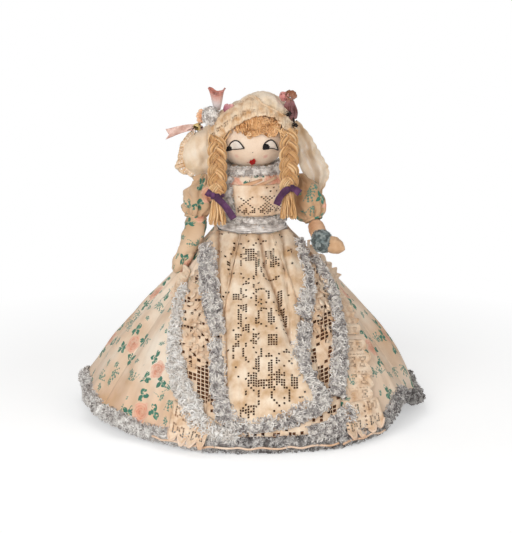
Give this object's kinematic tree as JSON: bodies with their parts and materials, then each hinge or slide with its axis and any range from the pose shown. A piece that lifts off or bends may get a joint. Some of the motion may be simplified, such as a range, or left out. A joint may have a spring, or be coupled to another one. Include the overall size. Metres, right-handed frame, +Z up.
{
  "type": "topsy turvy doll",
  "caption": "Cloth topsy turvy doll with an upside-down doll under a long skirt that turns over at the waist, jointed arms, swinging braids and bonnet lappets.",
  "frame": {"origin": "centre of the small flat under the hidden doll's padded cap, which the doll stands on", "axes": "+Z runs up the doll's middle from the hidden cap to the bonnet, -Y is the front that the face with the braids looks along, and +X is the viewer's right"},
  "size_m": [0.328, 0.3306, 0.3191],
  "materials": {
    "print_cotton": "aged cream and peach cotton with a small leaf and flower sprig print",
    "apron_lace": "ecru filet lace over a brownish under layer",
    "lace": "ecru filet lace",
    "gauze": "cream lace gauze",
    "fur": "blue grey looped wool trim",
    "yarn": "straw gold wool yarn",
    "dark_yarn": "dark brown wool yarn",
    "muslin": "plain off white muslin",
    "muslin_skin": "cream muslin",
    "blue_cotton": "plain dusty blue cotton",
    "satin": "silver white satin ribbon",
    "pink_ribbon": "faded pink ribbon",
    "peach_petal": "faded peach cloth petals",
    "mauve_petal": "mauve brown cloth petals",
    "purple_ribbon": "purple ribbon"
  },
  "bodies": {
    "root": {"upper_torso": "print_cotton", "lower_torso": "blue_cotton", "upper_head": "muslin_skin", "lower_head": "muslin_skin", "hair_wig": "yarn", "hair_fringe": "yarn", "lower_hair": "dark_yarn", "bonnet_crown": "gauze", "bonnet_brim": "lace", "cap_crown": "muslin", "cap_frill": "muslin", "waist_sash": "satin", "waist_fur_band": "fur", "fur_collar": "fur", "lace_bib": "lace", "bodice_fur_strip": "fur", "left_ribbon_rosette": "pink_ribbon", "left_fur_pom": "fur", "left_peach_flower": "peach_petal", "right_rosebud": "pink_ribbon", "right_mauve_flower": "mauve_petal"},
    "front_skirt": {"front_gore": "apron_lace", "front_hem_fur": "fur", "apron_fur_trim": "fur"},
    "front_right_skirt": {"front_right_gore": "print_cotton", "front_right_hem_fur": "fur", "right_apron_trim": "fur", "right_panel_trim": "fur"},
    "right_skirt": {"right_gore": "print_cotton", "right_hem_fur": "fur"},
    "back_right_skirt": {"back_right_gore": "print_cotton", "back_right_hem_fur": "fur"},
    "back_skirt": {"back_gore": "print_cotton", "back_hem_fur": "fur"},
    "back_left_skirt": {"back_left_gore": "print_cotton", "back_left_hem_fur": "fur"},
    "left_skirt": {"left_gore": "print_cotton", "left_hem_fur": "fur"},
    "front_left_skirt": {"front_left_gore": "print_cotton", "front_left_hem_fur": "fur", "left_apron_trim": "fur", "left_panel_trim": "fur"},
    "left_braid": {"left_braid": "yarn", "left_tassel": "yarn", "left_braid_ribbon": "purple_ribbon"},
    "right_braid": {"right_braid": "yarn", "right_tassel": "yarn", "right_braid_ribbon": "purple_ribbon"},
    "left_lappet": {"left_lappet": "gauze"},
    "right_lappet": {"right_lappet": "gauze"},
    "left_upper_arm": {"left_sleeve": "print_cotton"},
    "right_upper_arm": {"right_sleeve": "print_cotton"},
    "lower_left_upper_arm": {"lower_left_sleeve": "blue_cotton"},
    "lower_right_upper_arm": {"lower_right_sleeve": "blue_cotton"},
    "left_forearm": {"left_forearm": "print_cotton"},
    "right_forearm": {"right_forearm": "muslin_skin", "right_wrist_cuff": "fur"},
    "lower_left_forearm": {"lower_left_forearm": "muslin_skin"},
    "lower_right_forearm": {"lower_right_forearm": "muslin_skin"}
  },
  "joints": [
    {"name": "front_skirt_turn", "type": "hinge", "parent": "root", "child": "front_skirt", "pos_m": [0.00345, -0.03282, 0.178], "axis": [-0.9945, -0.1045, 0], "range_deg": [0, 104]},
    {"name": "front_right_skirt_turn", "type": "hinge", "parent": "root", "child": "front_right_skirt", "pos_m": [0.02565, -0.02077, 0.178], "axis": [-0.6293, -0.7771, 0], "range_deg": [0, 104]},
    {"name": "right_skirt_turn", "type": "hinge", "parent": "root", "child": "right_skirt", "pos_m": [0.03282, 0.00345, 0.178], "axis": [0.1045, -0.9945, 0], "range_deg": [0, 104]},
    {"name": "back_right_skirt_turn", "type": "hinge", "parent": "root", "child": "back_right_skirt", "pos_m": [0.02077, 0.02565, 0.178], "axis": [0.7771, -0.6293, 0], "range_deg": [0, 104]},
    {"name": "back_skirt_turn", "type": "hinge", "parent": "root", "child": "back_skirt", "pos_m": [-0.00345, 0.03282, 0.178], "axis": [0.9945, 0.1045, 0], "range_deg": [0, 104]},
    {"name": "back_left_skirt_turn", "type": "hinge", "parent": "root", "child": "back_left_skirt", "pos_m": [-0.02565, 0.02077, 0.178], "axis": [0.6293, 0.7771, 0], "range_deg": [0, 104]},
    {"name": "left_skirt_turn", "type": "hinge", "parent": "root", "child": "left_skirt", "pos_m": [-0.03282, -0.00345, 0.178], "axis": [-0.1045, 0.9945, 0], "range_deg": [0, 104]},
    {"name": "front_left_skirt_turn", "type": "hinge", "parent": "root", "child": "front_left_skirt", "pos_m": [-0.02077, -0.02565, 0.178], "axis": [-0.7771, 0.6293, 0], "range_deg": [0, 104]},
    {"name": "left_braid_swing", "type": "hinge", "parent": "root", "child": "left_braid", "pos_m": [-0.0322, -0.027, 0.271], "axis": [-1, 0, 0], "range_deg": [0, 131]},
    {"name": "right_braid_swing", "type": "hinge", "parent": "root", "child": "right_braid", "pos_m": [0.0327, -0.0256, 0.276], "axis": [-1, 0, 0], "range_deg": [0, 131]},
    {"name": "left_lappet_swing", "type": "hinge", "parent": "root", "child": "left_lappet", "pos_m": [-0.03418, 0.02143, 0.27783], "axis": [0, 1, 0], "range_deg": [0, 131]},
    {"name": "right_lappet_swing", "type": "hinge", "parent": "root", "child": "right_lappet", "pos_m": [0.03418, 0.02143, 0.27783], "axis": [0, -1, 0], "range_deg": [0, 131]},
    {"name": "left_shoulder", "type": "hinge", "parent": "root", "child": "left_upper_arm", "pos_m": [-0.046, 0, 0.22512], "axis": [0, 1, 0], "range_deg": [0, 136]},
    {"name": "right_shoulder", "type": "hinge", "parent": "root", "child": "right_upper_arm", "pos_m": [0.046, 0, 0.22512], "axis": [0, -1, 0], "range_deg": [0, 136]},
    {"name": "lower_left_shoulder", "type": "hinge", "parent": "root", "child": "lower_left_upper_arm", "pos_m": [-0.046, 0, 0.12024], "axis": [0, 1, 0], "range_deg": [0, 136]},
    {"name": "lower_right_shoulder", "type": "hinge", "parent": "root", "child": "lower_right_upper_arm", "pos_m": [0.046, 0, 0.12024], "axis": [0, -1, 0], "range_deg": [0, 136]},
    {"name": "left_elbow", "type": "hinge", "parent": "left_upper_arm", "child": "left_forearm", "pos_m": [-0.057, -0.01, 0.186], "axis": [-1, 0, 0], "range_deg": [0, 60]},
    {"name": "right_elbow", "type": "hinge", "parent": "right_upper_arm", "child": "right_forearm", "pos_m": [0.06, -0.015, 0.185], "axis": [-0.8, -0.6, 0], "range_deg": [-20, 45]},
    {"name": "lower_left_elbow", "type": "hinge", "parent": "lower_left_upper_arm", "child": "lower_left_forearm", "pos_m": [-0.068, -0.006, 0.07924], "axis": [-1, 0, 0], "range_deg": [0, 50]},
    {"name": "lower_right_elbow", "type": "hinge", "parent": "lower_right_upper_arm", "child": "lower_right_forearm", "pos_m": [0.068, -0.006, 0.07924], "axis": [-1, 0, 0], "range_deg": [0, 50]}
  ],
  "couplings": [
    {"joint": "front_right_skirt_turn", "follows": "front_skirt_turn", "ratio": 1},
    {"joint": "right_skirt_turn", "follows": "front_skirt_turn", "ratio": 1},
    {"joint": "back_right_skirt_turn", "follows": "front_skirt_turn", "ratio": 1},
    {"joint": "back_skirt_turn", "follows": "front_skirt_turn", "ratio": 1},
    {"joint": "back_left_skirt_turn", "follows": "front_skirt_turn", "ratio": 1},
    {"joint": "left_skirt_turn", "follows": "front_skirt_turn", "ratio": 1},
    {"joint": "front_left_skirt_turn", "follows": "front_skirt_turn", "ratio": 1},
    {"joint": "left_braid_swing", "follows": "front_skirt_turn", "ratio": 1.25},
    {"joint": "right_braid_swing", "follows": "front_skirt_turn", "ratio": 1.25},
    {"joint": "left_lappet_swing", "follows": "front_skirt_turn", "ratio": 1.25},
    {"joint": "right_lappet_swing", "follows": "front_skirt_turn", "ratio": 1.25},
    {"joint": "left_shoulder", "follows": "front_skirt_turn", "ratio": 1.3},
    {"joint": "right_shoulder", "follows": "front_skirt_turn", "ratio": 1.3},
    {"joint": "lower_left_shoulder", "follows": "front_skirt_turn", "ratio": 1.3},
    {"joint": "lower_right_shoulder", "follows": "front_skirt_turn", "ratio": 1.3}
  ]
}
